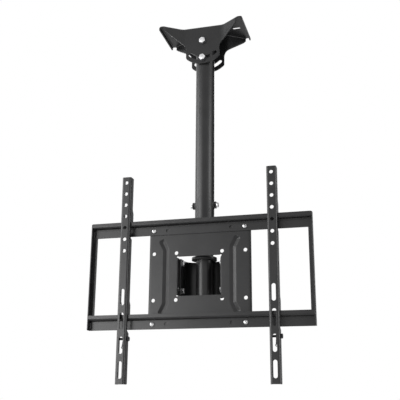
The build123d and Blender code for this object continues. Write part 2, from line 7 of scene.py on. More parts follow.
import json
import logging
import math
from dataclasses import dataclass, field
from enum import Enum
from typing import Optional, Sequence

import bmesh
import bpy
from mathutils import Matrix, Vector
from mathutils.geometry import intersect_point_line


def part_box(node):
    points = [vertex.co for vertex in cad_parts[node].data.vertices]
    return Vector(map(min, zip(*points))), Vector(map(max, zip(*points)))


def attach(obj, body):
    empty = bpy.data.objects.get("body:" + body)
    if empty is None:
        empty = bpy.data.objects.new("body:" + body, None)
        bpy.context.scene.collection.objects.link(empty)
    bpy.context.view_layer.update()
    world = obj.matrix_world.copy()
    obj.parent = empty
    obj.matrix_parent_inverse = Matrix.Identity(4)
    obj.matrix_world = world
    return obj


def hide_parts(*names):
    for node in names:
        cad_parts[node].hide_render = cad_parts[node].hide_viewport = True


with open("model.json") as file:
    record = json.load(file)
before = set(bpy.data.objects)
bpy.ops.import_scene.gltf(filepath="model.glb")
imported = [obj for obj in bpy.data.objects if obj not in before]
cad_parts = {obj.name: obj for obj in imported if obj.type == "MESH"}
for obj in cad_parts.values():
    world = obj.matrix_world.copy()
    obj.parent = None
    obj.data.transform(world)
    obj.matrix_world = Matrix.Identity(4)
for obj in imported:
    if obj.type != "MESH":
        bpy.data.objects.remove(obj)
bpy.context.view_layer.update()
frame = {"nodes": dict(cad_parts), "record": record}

log = logging.getLogger("ceiling_mount")

Point = tuple[float, float, float]
Colour = tuple[float, float, float]
Outline = Sequence[tuple[float, float]]
Shape = bmesh.types.BMesh
Socket = bpy.types.NodeSocket

MM = 0.001
FULL_TURN = 2 * math.pi
MERGE_DISTANCE = 1e-6
SMOOTH_ANGLE = math.radians(32)

# Directions of the row's frame
UP: Point = (0.0, 0.0, 1.0)
DOWN: Point = (0.0, 0.0, -1.0)
FORWARD: Point = (0.0, -1.0, 0.0)
BACK: Point = (0.0, 1.0, 0.0)
SIDES = (-1.0, 1.0)

# Part of a noise texture's values that roughness and colour make use of
NOISE_SPAN = (0.3, 0.7)
RAMP_SPAN = (0.32, 0.68)

# Samples of the shader that softens edges
EDGE_SAMPLES = 6

# Steps of a full turn, and the angle and width at which sharp edges are broken
ROUND_SIDES = 48
FINE_SIDES = 64
BREAK_ANGLE = math.radians(48)
EDGE_BREAK = 0.15 * MM

# Least upright share of the normal of a flat end
FLAT_END = 0.999

# Crown of hexagon heads and nuts: ring of flat cuts that make a 30 degree cone
HEX_SIDES = 6
CROWN_CUTS = 30
CROWN_SLOPE = math.radians(30)
CROWN_SHARE = 0.475

# Threads: steps of a turn, then in shares of the pitch the depth, the lead-in of the tip and the
# heights of the ridge's four corners
THREAD_STEPS = 24
THREAD_DEPTH = 0.6
THREAD_LEAD = 0.6
THREAD_RIDGE = (0.04, 0.42, 0.54, 0.92)

# Weld beads: sides, steps of a ripple, then in shares of the radius the swell of a ripple and the
# size at the ends of a straight bead
BEAD_SIDES = 10
RIPPLE_STEPS = 4
RIPPLE_SWELL = 0.16
BEAD_END = 0.35


class Slot(Enum):
    """Material slots of the record that the pieces take their finish from."""

    PAINT = "black_paint"
    ZINC = "zinc_plate"
    OXIDE = "black_oxide"
    NYLON = "nylon"


# Finishes


class NodeSheet:
    """A material's node tree under construction, with short ways to add and join nodes."""

    def __init__(self, name: str) -> None:
        """Start an empty tree with a surface shader and its output.

        Args:
            name: Name of the material.
        """
        self.material = bpy.data.materials.new(name)
        self.material.use_nodes = True
        self.tree = self.material.node_tree
        self.tree.nodes.clear()
        self.shader = self.add("ShaderNodeBsdfPrincipled")
        self.output = self.add("ShaderNodeOutputMaterial")
        self.join(self.shader.outputs["BSDF"], self.output.inputs["Surface"])

    def add(self, kind: str, **settings: object) -> bpy.types.Node:
        """Add one node.

        Args:
            kind: Blender's name of the node type.
            settings: Node properties to set.

        Returns:
            The new node.
        """
        node = self.tree.nodes.new(kind)
        for key, value in settings.items():
            setattr(node, key, value)
        return node

    def join(self, source: Socket, target: Socket) -> None:
        """Link an output socket to an input socket."""
        self.tree.links.new(source, target)

    def fix(self, **inputs: object) -> None:
        """Set the shader's inputs to fixed values.

        Args:
            inputs: Value by input name, with underscores for its spaces.
        """
        for key, value in inputs.items():
            self.shader.inputs[key.replace("_", " ")].default_value = value

    def place(self) -> Socket:
        """Return the Object coordinates that the textures read."""
        return self.add("ShaderNodeTexCoord").outputs["Object"]

    def noise(self, size: float, vector: Socket, detail: float) -> Socket:
        """Noise whose lumps are about one size across.

        Args:
            size: Width of a lump in metres.
            vector: Coordinates to read.
            detail: Octaves of finer noise.

        Returns:
            The factor socket.
        """
        texture = self.add("ShaderNodeTexNoise")
        texture.inputs["Scale"].default_value = 1.0 / size
        texture.inputs["Detail"].default_value = detail
        self.join(vector, texture.inputs["Vector"])
        return texture.outputs["Fac"]

    def spread(self, factor: Socket, low: float, high: float) -> Socket:
        """Carry a noise's middle range over to a span of values.

        Args:
            factor: Socket from 0 to 1.
            low: Value at the low end.
            high: Value at the high end.

        Returns:
            The value socket.
        """
        ranged = self.add("ShaderNodeMapRange")
        ends = ("From Min", "From Max", "To Min", "To Max")
        for end, value in zip(ends, (*NOISE_SPAN, low, high)):
            ranged.inputs[end].default_value = value
        self.join(factor, ranged.inputs["Value"])
        return ranged.outputs["Result"]

    def blend(self, factor: Socket, low: Colour, high: Colour) -> Socket:
        """Mix two colours by a factor.

        Args:
            factor: Socket from 0 to 1.
            low: Colour at the low end.
            high: Colour at the high end.

        Returns:
            The colour socket.
        """
        ramp = self.add("ShaderNodeValToRGB")
        for end, position, colour in zip(ramp.color_ramp.elements, RAMP_SPAN, (low, high)):
            end.position = position
            end.color = (*colour, 1.0)
        self.join(factor, ramp.inputs["Fac"])
        return ramp.outputs["Color"]

    def relief(
        self, height: Socket, depth: float, strength: float, under: Optional[Socket] = None
    ) -> Socket:
        """Bump from a height socket.

        Args:
            height: Socket from 0 to 1.
            depth: Height of the relief in metres.
            strength: Share of the relief that shows.
            under: Normal that the relief lies on.

        Returns:
            The normal socket.
        """
        bump = self.add("ShaderNodeBump")
        bump.inputs["Distance"].default_value = depth
        bump.inputs["Strength"].default_value = strength
        self.join(height, bump.inputs["Height"])
        if under is not None:
            self.join(under, bump.inputs["Normal"])
        return bump.outputs["Normal"]

    def soft_edges(self, radius: float) -> Socket:
        """Normals that round every sharp edge a little, as paint or rolling does.

        Args:
            radius: Radius of the rounding in metres.

        Returns:
            The normal socket.
        """
        edge = self.add("ShaderNodeBevel", samples=EDGE_SAMPLES)
        edge.inputs["Radius"].default_value = radius
        return edge.outputs["Normal"]


@dataclass(frozen=True)
class Finish:
    """What the finishes share: two tones that a texture mixes, and a span of roughness."""

    name: str
    deep: Colour
    pale: Colour
    roughness_low: float
    roughness_high: float

    def ground(self, sheet: NodeSheet, tone: Socket, gloss: Socket) -> None:
        """Join colour and roughness to the textures that vary them.

        Args:
            sheet: Node tree of the material.
            tone: Factor that mixes the two tones.
            gloss: Factor that spreads the roughness.
        """
        sheet.join(sheet.blend(tone, self.deep, self.pale), sheet.shader.inputs["Base Color"])
        rough = sheet.spread(gloss, self.roughness_low, self.roughness_high)
        sheet.join(rough, sheet.shader.inputs["Roughness"])


@dataclass(frozen=True)
class PowderCoat(Finish):
    """Satin black powder coat with a fine orange-peel skin."""

    name: str = "satin_powder_coat"
    deep: Colour = (0.008, 0.008, 0.0085)
    pale: Colour = (0.013, 0.013, 0.0135)
    roughness_low: float = 0.29
    roughness_high: float = 0.35
    specular: float = 0.38
    cloud_size: float = 0.045
    peel_size: float = 0.0016
    grit_size: float = 0.00045
    peel_depth: float = 0.00006
    grit_depth: float = 0.00002
    relief: float = 0.5
    edge_radius: float = 0.0006

    def build(self) -> bpy.types.Material:
        """Make the material.

        Returns:
            The finished material.
        """
        sheet = NodeSheet(self.name)
        place = sheet.place()
        cloud = sheet.noise(self.cloud_size, place, detail=2.0)
        peel = sheet.noise(self.peel_size, place, detail=1.0)
        grit = sheet.noise(self.grit_size, place, detail=2.0)
        self.ground(sheet, cloud, grit)
        edge = sheet.soft_edges(self.edge_radius)
        skin = sheet.relief(peel, self.peel_depth, self.relief, edge)
        normal = sheet.relief(grit, self.grit_depth, self.relief, skin)
        sheet.join(normal, sheet.shader.inputs["Normal"])
        sheet.fix(Specular_IOR_Level=self.specular)
        return sheet.material


@dataclass(frozen=True)
class ZincPlate(Finish):
    """Bright zinc with faint clouding and turned marks."""

    name: str = "bright_zinc"
    deep: Colour = (0.50, 0.50, 0.51)
    pale: Colour = (0.78, 0.78, 0.78)
    roughness_low: float = 0.20
    roughness_high: float = 0.36
    cloud_size: float = 0.004
    mark_size: float = 0.0005
    mark_depth: float = 0.00002
    relief: float = 0.4
    edge_radius: float = 0.00025

    def build(self) -> bpy.types.Material:
        """Make the material.

        Returns:
            The finished material.
        """
        sheet = NodeSheet(self.name)
        place = sheet.place()
        cloud = sheet.noise(self.cloud_size, place, detail=3.0)
        marks = sheet.noise(self.mark_size, place, detail=2.0)
        self.ground(sheet, cloud, marks)
        edge = sheet.soft_edges(self.edge_radius)
        normal = sheet.relief(marks, self.mark_depth, self.relief, edge)
        sheet.join(normal, sheet.shader.inputs["Normal"])
        sheet.fix(Metallic=1.0)
        return sheet.material


@dataclass(frozen=True)
class BlackOxide(Finish):
    """Blackened steel: dark, faintly mottled and a little oily."""

    name: str = "black_oxide_steel"
    deep: Colour = (0.012, 0.012, 0.013)
    pale: Colour = (0.035, 0.035, 0.038)
    roughness_low: float = 0.30
    roughness_high: float = 0.46
    mottle_size: float = 0.0025
    mottle_depth: float = 0.00002
    relief: float = 0.4
    metallic: float = 0.6
    edge_radius: float = 0.00025

    def build(self) -> bpy.types.Material:
        """Make the material.

        Returns:
            The finished material.
        """
        sheet = NodeSheet(self.name)
        mottle = sheet.noise(self.mottle_size, sheet.place(), detail=3.0)
        self.ground(sheet, mottle, mottle)
        edge = sheet.soft_edges(self.edge_radius)
        normal = sheet.relief(mottle, self.mottle_depth, self.relief, edge)
        sheet.join(normal, sheet.shader.inputs["Normal"])
        sheet.fix(Metallic=self.metallic)
        return sheet.material


@dataclass(frozen=True)
class BlackNylon(Finish):
    """Moulded black nylon with a dull, finely grained skin."""

    name: str = "black_nylon"
    deep: Colour = (0.018, 0.018, 0.018)
    pale: Colour = (0.034, 0.034, 0.034)
    roughness_low: float = 0.52
    roughness_high: float = 0.66
    grain_size: float = 0.0006
    grain_depth: float = 0.00003
    relief: float = 0.5

    def build(self) -> bpy.types.Material:
        """Make the material.

        Returns:
            The finished material.
        """
        sheet = NodeSheet(self.name)
        grain = sheet.noise(self.grain_size, sheet.place(), detail=2.0)
        self.ground(sheet, grain, grain)
        normal = sheet.relief(grain, self.grain_depth, self.relief)
        sheet.join(normal, sheet.shader.inputs["Normal"])
        return sheet.material


class Paintbox:
    """The mount's finishes, each made once: one for each slot, and the glossier coat of weld beads."""

    def __init__(self) -> None:
        """Make the materials."""
        self.by_slot = {
            Slot.PAINT: PowderCoat().build(),
            Slot.ZINC: ZincPlate().build(),
            Slot.OXIDE: BlackOxide().build(),
            Slot.NYLON: BlackNylon().build(),
        }
        self.bead = PowderCoat(
            name="glossy_bead_coat", roughness_low=0.12, roughness_high=0.22, specular=0.55
        ).build()

    def coat_nodes(self) -> None:
        """Give every CAD node the finish of its slot in the record."""
        slots = {part["node"]: part["material_slot"] for part in frame["record"]["subparts"]}
        for name, obj in frame["nodes"].items():
            finish = self.by_slot[Slot(slots[name])]
            obj.data.materials.clear()
            obj.data.materials.append(finish)
            log.info("node %s coated with %s", name, finish.name)


# Shapes that the pieces are gathered from, each in a frame of its own with +Z facing outwards


def whole(shape: Shape) -> list[bmesh.types.BMVert | bmesh.types.BMEdge | bmesh.types.BMFace]:
    """Return everything that a shape is made of."""
    return shape.verts[:] + shape.edges[:] + shape.faces[:]


def turned(outline: Outline, sides: int = ROUND_SIDES) -> Shape:
    """Spin an outline about the Z axis, as on a lathe.

    Args:
        outline: Radius and height of each corner in order.
        sides: Steps of the full turn.

    Returns:
        The turned shape.
    """
    shape = bmesh.new()
    corners = [shape.verts.new((radius, 0.0, height)) for radius, height in outline]
    for start, end in zip(corners, corners[1:]):
        shape.edges.new((start, end))
    bmesh.ops.spin(shape, geom=whole(shape), axis=UP, angle=FULL_TURN, steps=sides, use_merge=True)
    bmesh.ops.remove_doubles(shape, verts=shape.verts[:], dist=MERGE_DISTANCE)
    return shape


def broken(shape: Shape, width: float) -> Shape:
    """Break the sharp edges of a shape with a narrow round.

    Args:
        shape: Shape to work on.
        width: Width of the round.

    Returns:
        The same shape.
    """
    bmesh.ops.recalc_face_normals(shape, faces=shape.faces[:])
    sharp = [edge for edge in shape.edges if edge.is_manifold and edge.calc_face_angle() > BREAK_ANGLE]
    bmesh.ops.bevel(
        shape,
        geom=sharp,
        offset=width,
        segments=2,
        affect="EDGES",
        profile=0.5,
        material=-1,
        clamp_overlap=True,
    )
    return shape


def round_bar(radius: float, length: float, sides: int) -> Shape:
    """Round bar along Z, centred on the origin.

    Args:
        radius: Radius of the bar.
        length: Length of the bar.
        sides: Number of its flat sides.

    Returns:
        The bar.
    """
    shape = bmesh.new()
    bmesh.ops.create_cone(
        shape, cap_ends=True, segments=sides, radius1=radius, radius2=radius, depth=length
    )
    return shape


def hexagon(flats: float, height: float, crown: tuple[bool, bool] = (False, True)) -> Shape:
    """Hexagonal bar that stands on the origin, cut back to a cone at one or both ends.

    Args:
        flats: Width across flats.
        height: Height of the bar.
        crown: Whether the lower and the upper end are cut back.

    Returns:
        The bar.
    """
    shape = round_bar(flats / math.sqrt(3), height, HEX_SIDES)
    bmesh.ops.translate(shape, vec=(0.0, 0.0, height / 2), verts=shape.verts)
    for wanted, level, way in zip(crown, (0.0, height), SIDES):
        if not wanted:
            continue
        for step in range(CROWN_CUTS):
            around = FULL_TURN * step / CROWN_CUTS
            across = Vector((math.cos(around), math.sin(around), 0.0))
            slope = across * math.sin(CROWN_SLOPE) + Vector((0.0, 0.0, way * math.cos(CROWN_SLOPE)))
            cut = bmesh.ops.bisect_plane(
                shape,
                geom=whole(shape),
                plane_co=across * flats * CROWN_SHARE + Vector((0.0, 0.0, level)),
                plane_no=slope,
                clear_outer=True,
            )
            rim = [item for item in cut["geom_cut"] if isinstance(item, bmesh.types.BMEdge)]
            if len(rim) > 2:
                bmesh.ops.contextual_create(shape, geom=rim)
    return shape


def pierced(shape: Shape, bore: float) -> Shape:
    """Open a bore through both end faces of a bar.

    Args:
        shape: Bar with a flat face at each end.
        bore: Radius of the bore.

    Returns:
        The same shape.
    """
    ends = [face for face in shape.faces if abs(face.normal.z) > FLAT_END]
    mouths = []
    for face in sorted(ends, key=lambda item: item.calc_center_median().z):
        bmesh.ops.inset_region(shape, faces=[face], thickness=face_reach(face) - bore)
        mouths.append(face)
    rims = [edge for face in mouths for edge in face.edges]
    bmesh.ops.delete(shape, geom=mouths, context="FACES_ONLY")
    bmesh.ops.bridge_loops(shape, edges=rims)
    return shape


def face_reach(face: bmesh.types.BMFace) -> float:
    """Return the shortest distance from a face's middle to its edges."""
    centre = face.calc_center_median()
    return min(((edge.verts[0].co + edge.verts[1].co) / 2 - centre).length for edge in face.edges)


def sliced(shape: Shape, axis: Vector, offsets: Sequence[float]) -> None:
    """Draw new edges round a shape along parallel planes, and leave it whole.

    Args:
        shape: Shape to work on.
        axis: Direction that the planes face.
        offsets: Distances of the planes from the origin.
    """
    for offset in offsets:
        bmesh.ops.bisect_plane(shape, geom=whole(shape), plane_co=axis * offset, plane_no=axis)


def sunken(
    shape: Shape, faces: Sequence[bmesh.types.BMFace], depth: float
) -> list[bmesh.types.BMVert]:
    """Sink faces into a shape, with walls round them.

    Args:
        shape: Shape to work on.
        faces: Faces that become the floor of the recess.
        depth: Depth of the recess.

    Returns:
        The corners of the floor.
    """
    pulled = bmesh.ops.extrude_face_region(shape, geom=faces)
    floor = [item for item in pulled["geom"] if isinstance(item, bmesh.types.BMVert)]
    bmesh.ops.translate(shape, vec=(0.0, 0.0, -depth), verts=floor)
    return floor


def thread(radius: float, low: float, high: float, pitch: float) -> Shape:
    """Helical ridge of a screw thread between two heights.

    Args:
        radius: Radius of the crest.
        low: Height of the lower end.
        high: Height of the upper end.
        pitch: Rise of one turn.

    Returns:
        The closed ridge.
    """
    turns = (high - low) / pitch - 1.0
    steps = round(turns * THREAD_STEPS)
    root = radius - THREAD_DEPTH * pitch
    shape = bmesh.new()
    ridge = zip((root, radius, radius, root), THREAD_RIDGE)
    shape.faces.new([shape.verts.new((reach, 0.0, low + share * pitch)) for reach, share in ridge])
    bmesh.ops.spin(
        shape,
        geom=whole(shape),
        axis=UP,
        dvec=(0.0, 0.0, pitch * turns / steps),
        angle=FULL_TURN * turns,
        steps=steps,
    )
    return shape


def bead_ring(radius: float, bead: float, ripples: int) -> Shape:
    """Weld bead that runs once round a circle, with the ripples of its puddles.

    Args:
        radius: Radius of the circle.
        bead: Radius of the bead.
        ripples: Number of puddles round the circle.

    Returns:
        The bead.
    """
    shape = bmesh.new()
    upright = Matrix.Translation((radius, 0.0, 0.0)) @ Matrix.Rotation(math.pi / 2, 4, "X")
    bmesh.ops.create_circle(shape, segments=BEAD_SIDES, radius=bead, matrix=upright)
    steps = ripples * RIPPLE_STEPS
    bmesh.ops.spin(shape, geom=whole(shape), axis=UP, angle=FULL_TURN, steps=steps, use_merge=True)
    for vert in shape.verts:
        around = math.atan2(vert.co.y, vert.co.x)
        centre = Vector((radius * math.cos(around), radius * math.sin(around), 0.0))
        swell = 1.0 + RIPPLE_SWELL * abs(math.sin(ripples * around / 2))
        vert.co = centre + (vert.co - centre) * swell
    return shape


def bead_line(length: float, bead: float, ripples: int) -> Shape:
    """Straight weld bead along Z, centred on the origin.

    Args:
        length: Length of the bead.
        bead: Radius of the bead.
        ripples: Number of puddles.

    Returns:
        The bead.
    """
    shape = round_bar(bead, length, BEAD_SIDES)
    along = [edge for edge in shape.edges if abs(edge.verts[0].co.z - edge.verts[1].co.z) > length / 2]
    bmesh.ops.subdivide_edges(shape, edges=along, cuts=ripples * RIPPLE_STEPS)
    for vert in shape.verts:
        share = vert.co.z / length + 0.5
        swell = 1.0 + RIPPLE_SWELL * abs(math.sin(math.pi * ripples * share))
        from_end = min(share, 1.0 - share) * ripples
        swell *= BEAD_END + (1.0 - BEAD_END) * min(from_end, 1.0)
        vert.co.x *= swell
        vert.co.y *= swell
    return shape


def facing(at: Sequence[float], way: Sequence[float], turn: float = 0.0) -> Matrix:
    """Place a shape so that its +Z looks a given way.

    Args:
        at: Point that the shape's origin goes to.
        way: Direction that +Z goes to.
        turn: Turn about that direction in degrees.

    Returns:
        The placement.
    """
    upright = Vector(way).to_track_quat("Z", "Y").to_matrix().to_4x4()
    return Matrix.Translation(at) @ upright @ Matrix.Rotation(math.radians(turn), 4, "Z")


# Meshes and objects


def mesh_of(name: str, shape: Shape) -> bpy.types.Mesh:
    """Make a mesh of a shape.

    Args:
        name: Name of the mesh.
        shape: Shape, used up here.

    Returns:
        The mesh.
    """
    mesh = bpy.data.meshes.new(name)
    shape.to_mesh(mesh)
    shape.free()
    return mesh


def stand(name: str, data: bpy.types.ID) -> bpy.types.Object:
    """Make an object and link it to the scene.

    Args:
        name: Name of the object.
        data: Mesh, lamp or camera that it shows.

    Returns:
        The object.
    """
    obj = bpy.data.objects.new(name, data)
    bpy.context.scene.collection.objects.link(obj)
    return obj


class Piece:
    """One finished piece of the mount, gathered from placed shapes."""

    def __init__(self, name: str, body: str, slot: Slot) -> None:
        """Start an empty piece.

        Args:
            name: Name of the piece.
            body: Body that it rides on.
            slot: Material slot that it takes its finish from.
        """
        self.name = name
        self.body = body
        self.slot = slot
        self.gathered = bmesh.new()

    def take(self, shape: Shape, place: Optional[Matrix] = None) -> None:
        """Move a shape to its place and add it to the piece.

        Args:
            shape: Shape in its own frame, used up here.
            place: Placement in the row's frame, where the shape isn't there already.
        """
        if place is not None:
            shape.transform(place)
        loose = mesh_of("loose", shape)
        self.gathered.from_mesh(loose)
        bpy.data.meshes.remove(loose)

    def finish(
        self, paintbox: Paintbox, *stands_for: str, bead: bool = False, smooth: float = SMOOTH_ANGLE
    ) -> None:
        """Close the mesh, coat it and let it ride on its body.

        Args:
            paintbox: Finishes by slot.
            stands_for: CAD nodes that the piece is shown in place of.
            bead: Whether the piece is a weld bead with its glossier coat.
            smooth: Angle between faces below which an edge is shaded smooth.
        """
        bmesh.ops.recalc_face_normals(self.gathered, faces=self.gathered.faces[:])
        for face in self.gathered.faces:
            face.smooth = True
        for edge in self.gathered.edges:
            edge.smooth = not edge.is_manifold or edge.calc_face_angle() < smooth
        mesh = mesh_of(self.name, self.gathered)
        mesh.materials.append(paintbox.bead if bead else paintbox.by_slot[self.slot])
        obj = stand(self.name, mesh)
        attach(obj, self.body)
        if stands_for:
            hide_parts(*stands_for)
        log.info("%s: %d faces, rides on %s", self.name, len(mesh.polygons), self.body)


def box(node: str) -> tuple[Vector, Vector]:
    """Return a node's lowest and highest corners."""
    low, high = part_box(node)
    return Vector(low), Vector(high)


def middle(node: str) -> Vector:
    """Return the middle of a node's box."""
    low, high = box(node)
    return (low + high) / 2


# Fasteners


@dataclass(frozen=True)
class HexBolt:
    """Hexagon bolt with a crowned head and a rolled thread at its tip."""

    flats: float
    head_height: float
    radius: float
    pitch: float
    length: float
    threaded: float

    def gather(self, piece: Piece, place: Matrix) -> None:
        """Add the bolt to a piece, its seat at the placement's origin.

        Args:
            piece: Piece that takes the bolt.
            place: Placement, with +Z out through the head.
        """
        tip = -self.length
        runout = tip + self.threaded
        core = self.radius - THREAD_DEPTH * self.pitch
        lead = THREAD_LEAD * self.pitch
        sunk = self.head_height / 4
        outline = (
            (0.0, tip),
            (core - lead / 2, tip),
            (core, tip + lead),
            (core, runout),
            (self.radius, runout + lead),
            (self.radius, sunk),
            (0.0, sunk),
        )
        piece.take(broken(hexagon(self.flats, self.head_height), EDGE_BREAK), place)
        piece.take(turned(outline), place)
        piece.take(thread(self.radius, tip + lead / 2, runout, self.pitch), place)


@dataclass(frozen=True)
class HexNut:
    """Hexagon nut, crowned at both ends."""

    flats: float
    height: float
    bore: float
    edge_break: float = EDGE_BREAK

    def gather(self, piece: Piece, place: Matrix) -> None:
        """Add the nut to a piece, its seat at the placement's origin."""
        blank = hexagon(self.flats, self.height, (True, True))
        piece.take(broken(pierced(blank, self.bore), self.edge_break), place)


@dataclass(frozen=True)
class Washer:
    """Flat washer, rounded on the side that the punch left.

    The rim's corners are steps in from its edge and down from the upper face, in shares of the
    roll, and so are the small breaks of the rim's foot and of the bore's mouth.
    """

    outer: float
    bore: float
    sheet: float
    roll_share: float = 0.35
    rim: Outline = ((0.0, 1.0), (0.35, 0.3), (1.2, 0.0))
    foot: float = 0.3
    mouth: float = 0.4

    def gather(self, piece: Piece, place: Matrix) -> None:
        """Add the washer to a piece, its seat at the placement's origin.

        Args:
            piece: Piece that takes the washer.
            place: Placement, with +Z out through the rounded side.
        """
        roll = self.sheet * self.roll_share
        foot = roll * self.foot
        mouth = roll * self.mouth
        outline = [(self.bore, 0.0), (self.outer - foot, 0.0), (self.outer, foot)]
        outline += [(self.outer - roll * inwards, self.sheet - roll * down) for inwards, down in self.rim]
        outline += [(self.bore + mouth, self.sheet), (self.bore, self.sheet - mouth), (self.bore, 0.0)]
        piece.take(turned(outline, FINE_SIDES), place)


@dataclass(frozen=True)
class Shank:
    """Plain round shank with a rolled thread at its tip."""

    radius: float
    pitch: float
    length: float
    threaded: float

    def gather(self, piece: Piece, place: Matrix) -> None:
        """Add the shank to a piece, its upper end at the placement's origin.

        Args:
            piece: Piece that takes the shank.
            place: Placement, with +Z away from the tip.
        """
        tip = -self.length
        runout = tip + self.threaded
        core = self.radius - THREAD_DEPTH * self.pitch
        outline = (
            (0.0, tip),
            (core, tip),
            (core, runout),
            (self.radius, runout),
            (self.radius, 0.0),
            (0.0, 0.0),
        )
        piece.take(turned(outline), place)
        piece.take(thread(self.radius, tip, runout, self.pitch), place)


@dataclass(frozen=True)
class PanHead:
    """Domed screw head with a cross recess, its dome and recess in shares of radius and height."""

    radius: float
    height: float
    dome: Outline = (
        (0.0, 1.0),
        (0.62, 0.97),
        (0.84, 0.84),
        (0.96, 0.6),
        (1.0, 0.32),
        (0.98, 0.0),
        (0.0, 0.0),
    )
    arm: float = 0.58
    arm_width: float = 0.26
    recess: float = 0.6
    recess_taper: float = 0.72
    crown_normal: float = 0.3

    def shape(self) -> Shape:
        """Turn the dome and sink the recess.

        Returns:
            The head, its seat at the origin.
        """
        shape = turned([(self.radius * across, self.height * up) for across, up in self.dome])
        long_half = self.arm * self.radius
        short_half = self.arm_width * self.radius / 2
        for axis in (Vector((1.0, 0.0, 0.0)), Vector((0.0, 1.0, 0.0))):
            sliced(shape, axis, (-long_half, -short_half, short_half, long_half))
        bmesh.ops.recalc_face_normals(shape, faces=shape.faces[:])
        cross = []
        for face in shape.faces:
            spot = face.calc_center_median()
            near, far = sorted((abs(spot.x), abs(spot.y)))
            if face.normal.z > self.crown_normal and near < short_half and far < long_half:
                cross.append(face)
        floor = sunken(shape, cross, self.recess * self.height)
        bmesh.ops.scale(shape, vec=(self.recess_taper, self.recess_taper, 1.0), verts=floor)
        return shape


# Sub-assemblies of the mount


@dataclass
class Assembly:
    """What the sub-assemblies share: the finishes at hand."""

    paintbox: Paintbox


@dataclass
class CeilingBolts(Assembly):
    """Pivot bolt and pitch lock bolt through the saddle's cheeks, with washers and nuts."""

    flats: float = 13.0 * MM
    head_height: float = 5.3 * MM
    radius: float = 4.0 * MM
    pitch: float = 1.25 * MM
    threaded: float = 4.5 * MM
    nut_height: float = 8.0 * MM
    nut_turn: float = 17.0
    washer_radius: float = 9.0 * MM
    washer_sheet: float = 1.6 * MM
    # Name of the set, body that it rides on, and turn of its hexagons in degrees
    sets: Sequence[tuple[str, str, float]] = (("pivot", "bracket", 11.0), ("pitch_lock", "pole", 38.0))

    def build(self) -> None:
        """Build both sets."""
        for name, body, turn in self.sets:
            self.bolt(name, body, turn)
            self.nut(name, body, turn + self.nut_turn)
            self.washers(name, body)

    def bolt(self, name: str, body: str, turn: float) -> None:
        """Build one bolt, its head towards the television side.

        Args:
            name: Name of the set.
            body: Body that the bolt rides on.
            turn: Turn of the hexagon in degrees.
        """
        low, high = box(f"{name}_bolt")
        seat = middle(f"{name}_bolt")
        seat.y = low.y + self.head_height
        length = high.y - seat.y
        bolt = HexBolt(self.flats, self.head_height, self.radius, self.pitch, length, self.threaded)
        piece = Piece(f"{name}_bolt_detail", body, Slot.ZINC)
        bolt.gather(piece, facing(seat, FORWARD, turn))
        piece.finish(self.paintbox, f"{name}_bolt")

    def nut(self, name: str, body: str, turn: float) -> None:
        """Build one nut behind the rear cheek.

        Args:
            name: Name of the set.
            body: Body that the nut rides on.
            turn: Turn of the hexagon in degrees.
        """
        seat = middle(f"{name}_nut")
        seat.y = box(f"{name}_nut")[0].y
        nut = HexNut(self.flats, self.nut_height, self.radius)
        piece = Piece(f"{name}_nut_detail", body, Slot.ZINC)
        nut.gather(piece, facing(seat, BACK, turn))
        piece.finish(self.paintbox, f"{name}_nut")

    def washers(self, name: str, body: str) -> None:
        """Build the washers on both cheeks.

        Args:
            name: Name of the set.
            body: Body that the washers ride on.
        """
        low, high = box(f"{name}_washers")
        centre = middle(f"{name}_washers")
        washer = Washer(self.washer_radius, self.radius, self.washer_sheet)
        piece = Piece(f"{name}_washers_detail", body, Slot.OXIDE)
        for face_y, way in zip((low.y, high.y), SIDES):
            seat = (centre.x, face_y - way * self.washer_sheet, centre.z)
            washer.gather(piece, facing(seat, (0.0, way, 0.0)))
        piece.finish(self.paintbox, f"{name}_washers")


@dataclass
class TiltBolts(Assembly):
    """Two pairs of bolts through the yoke and the plate's ears, their heads inside the yoke."""

    flats: float = 10.0 * MM
    head_height: float = 4.0 * MM
    radius: float = 3.0 * MM
    pitch: float = 1.0 * MM
    threaded: float = 2.6 * MM
    nut_height: float = 6.0 * MM
    washer_radius: float = 8.5 * MM
    washer_sheet: float = 1.5 * MM
    yoke_sheet: float = 2.5 * MM
    # Name of the set, and turn of its hexagons in degrees
    sets: Sequence[tuple[str, float]] = (("tilt_pivot", 7.0), ("tilt_lock", 24.0))

    def build(self) -> None:
        """Build both pairs with their nuts and washers."""
        bolt_x = box("yoke")[1].x - self.yoke_sheet
        nut = HexNut(self.flats, self.nut_height, self.radius)
        washer = Washer(self.washer_radius, self.radius, self.washer_sheet)
        for name, turn in self.sets:
            length = box(f"{name}_bolts")[1].x - bolt_x
            nut_x = box(f"{name}_nuts")[1].x - self.nut_height
            washer_x = box(f"{name}_washers")[1].x - self.washer_sheet
            bolt = HexBolt(self.flats, self.head_height, self.radius, self.pitch, length, self.threaded)
            self.pair(f"{name}_bolts", bolt, bolt_x, -1.0, turn)
            self.pair(f"{name}_nuts", nut, nut_x, 1.0, turn)
            self.pair(f"{name}_washers", washer, washer_x, 1.0, 0.0)

    def pair(
        self, node: str, fastener: HexBolt | HexNut | Washer, seat_x: float, way: float, turn: float
    ) -> None:
        """Build one kind of fastener on both sides.

        Args:
            node: CAD node that the two are shown in place of.
            fastener: Fastener to repeat.
            seat_x: Distance of its seat from the mount's middle.
            way: 1 where it faces outwards, -1 where it faces inwards.
            turn: Turn about its axis in degrees.
        """
        centre = middle(node)
        piece = Piece(f"{node}_detail", "head", Slot.ZINC)
        for side in SIDES:
            seat = (side * seat_x, centre.y, centre.z)
            fastener.gather(piece, facing(seat, (side * way, 0.0, 0.0), turn))
        piece.finish(self.paintbox, node)


